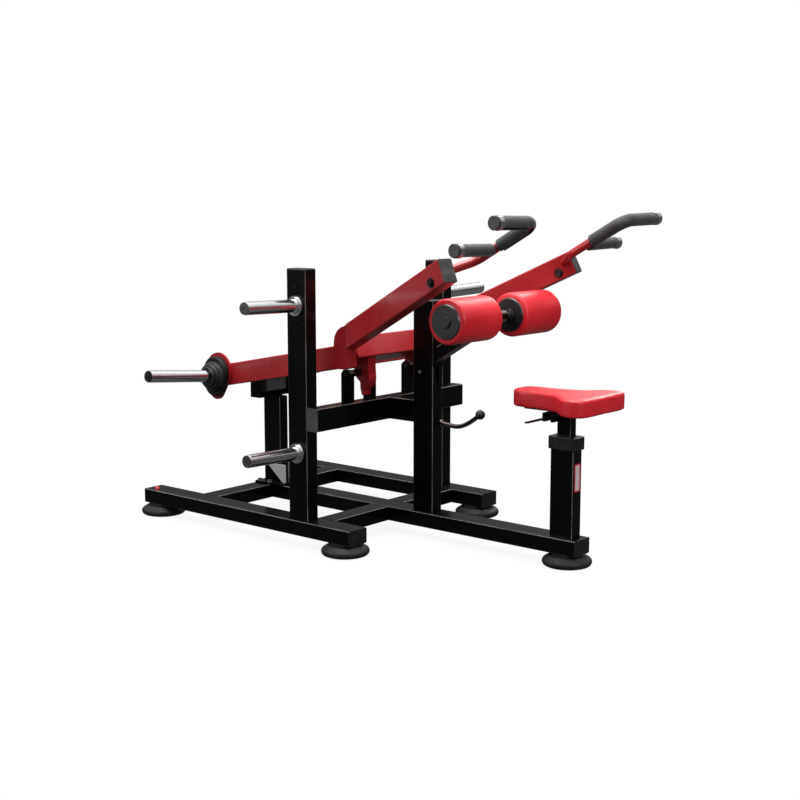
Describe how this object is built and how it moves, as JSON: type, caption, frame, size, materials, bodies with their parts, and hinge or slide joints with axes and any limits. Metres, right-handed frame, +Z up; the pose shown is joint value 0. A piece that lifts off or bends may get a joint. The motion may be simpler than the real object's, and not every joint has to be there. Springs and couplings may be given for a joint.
{
  "type": "plate-loaded lat pulldown machine",
  "caption": "Plate-loaded lat pulldown machine: black tube frame, red swinging lever with handles, roller thigh pads, sliding seat and plate storage horns.",
  "frame": {"origin": "on the floor under the centre of the whole machine", "axes": "+Z up, -Y towards the seat end, +X across the machine to the side away from the camera"},
  "size_m": [1.451, 2.0473, 1.2989],
  "materials": {
    "black_powder": "gloss black powder coat",
    "red_powder": "gloss red powder coat",
    "grey_paint": "satin light grey paint",
    "chrome": "polished chrome plate",
    "steel": "zinc plated and turned steel",
    "rubber": "moulded dark grey rubber",
    "black_rubber": "moulded black rubber",
    "plastic_dark": "textured dark plastic",
    "plastic_grey": "textured grey plastic",
    "plastic_red": "gloss red plastic",
    "foam": "closed cell foam sleeve",
    "bronze": "sintered bronze",
    "vinyl": "red upholstery vinyl over foam",
    "label": "printed film, blank"
  },
  "bodies": {
    "frame": {"base_rails": "black_powder", "base_cross_members": "black_powder", "base_spine": "black_powder", "tube_end_caps": "plastic_dark", "rail_button": "plastic_red", "rubber_feet": "rubber", "frame_bolts": "steel", "storage_posts": "black_powder", "gussets": "grey_paint", "mid_beam": "black_powder", "mid_beam_caps": "plastic_grey", "column_beam": "black_powder", "column": "black_powder", "rear_upright": "black_powder", "upright_base_plate": "black_powder", "stop_bracket": "black_powder", "stop_pad": "black_rubber", "storage_horns": "chrome", "storage_horn_collars": "chrome", "storage_horn_plugs": "plastic_grey", "pivot_forks": "black_powder", "pivot_pins": "steel", "seat_tower": "black_powder", "seat_tower_collar": "plastic_dark", "blank_label": "label"},
    "lever": {"cross_beam": "red_powder", "front_arm_left": "red_powder", "front_arm_right": "red_powder", "arm_knees": "red_powder", "rear_arm_left": "red_powder", "rear_arm_right": "red_powder", "rear_tie_bar": "red_powder", "pivot_lugs": "red_powder", "pivot_bushes": "bronze", "arm_end_caps": "plastic_grey", "arm_bolts": "steel", "handle_left": "red_powder", "handle_right": "red_powder", "foam_grips": "foam", "grip_collars": "steel", "grip_end_caps": "plastic_dark", "horn_flanges": "red_powder", "horn_bumpers": "black_rubber", "horn_hubs": "steel", "lever_horns": "chrome", "lever_horn_plugs": "plastic_dark"},
    "seat": {"seat_inner_post": "black_powder", "seat_plate": "black_powder", "seat_pad": "vinyl", "seat_bolt_caps": "plastic_red"},
    "seat_release": {"seat_release_lever": "black_powder"},
    "pad_carrier": {"pad_carriage": "black_powder", "pad_arm": "black_powder", "roller_axle": "steel"},
    "roller_left": {"roller_foam_left": "vinyl", "roller_hub_left": "plastic_dark"},
    "roller_right": {"roller_foam_right": "vinyl", "roller_hub_right": "plastic_dark"},
    "pad_release": {"pad_release_lever": "black_powder", "release_knob": "plastic_dark"}
  },
  "joints": [
    {"name": "lever_swing", "type": "hinge", "parent": "frame", "child": "lever", "pos_m": [0, 0.00675, 0.668], "axis": [1, 0, 0], "range_deg": [0, 35]},
    {"name": "seat_height", "type": "slide", "parent": "frame", "child": "seat", "axis": [0, 0, 1], "range_m": [-0.05, 0.1]},
    {"name": "seat_release_lift", "type": "hinge", "parent": "seat", "child": "seat_release", "pos_m": [-0.034, -0.81925, 0.561], "axis": [0, 1, 0], "range_deg": [0, 8], "stiffness_Nm_per_rad": 4, "springref_deg": -5.73},
    {"name": "pad_height", "type": "slide", "parent": "frame", "child": "pad_carrier", "axis": [0, 0, 1], "range_m": [-0.06, 0.06]},
    {"name": "roller_left_spin", "type": "hinge", "parent": "pad_carrier", "child": "roller_left", "pos_m": [-0.197, -0.53425, 0.909], "axis": [1, 0, 0], "continuous": true},
    {"name": "roller_right_spin", "type": "hinge", "parent": "pad_carrier", "child": "roller_right", "pos_m": [0.197, -0.53425, 0.909], "axis": [1, 0, 0], "continuous": true},
    {"name": "pad_release_lift", "type": "hinge", "parent": "frame", "child": "pad_release", "pos_m": [0, -0.25925, 0.471], "axis": [1, 0, 0], "range_deg": [-12, 0], "stiffness_Nm_per_rad": 6, "springref_deg": 8.59}
  ]
}
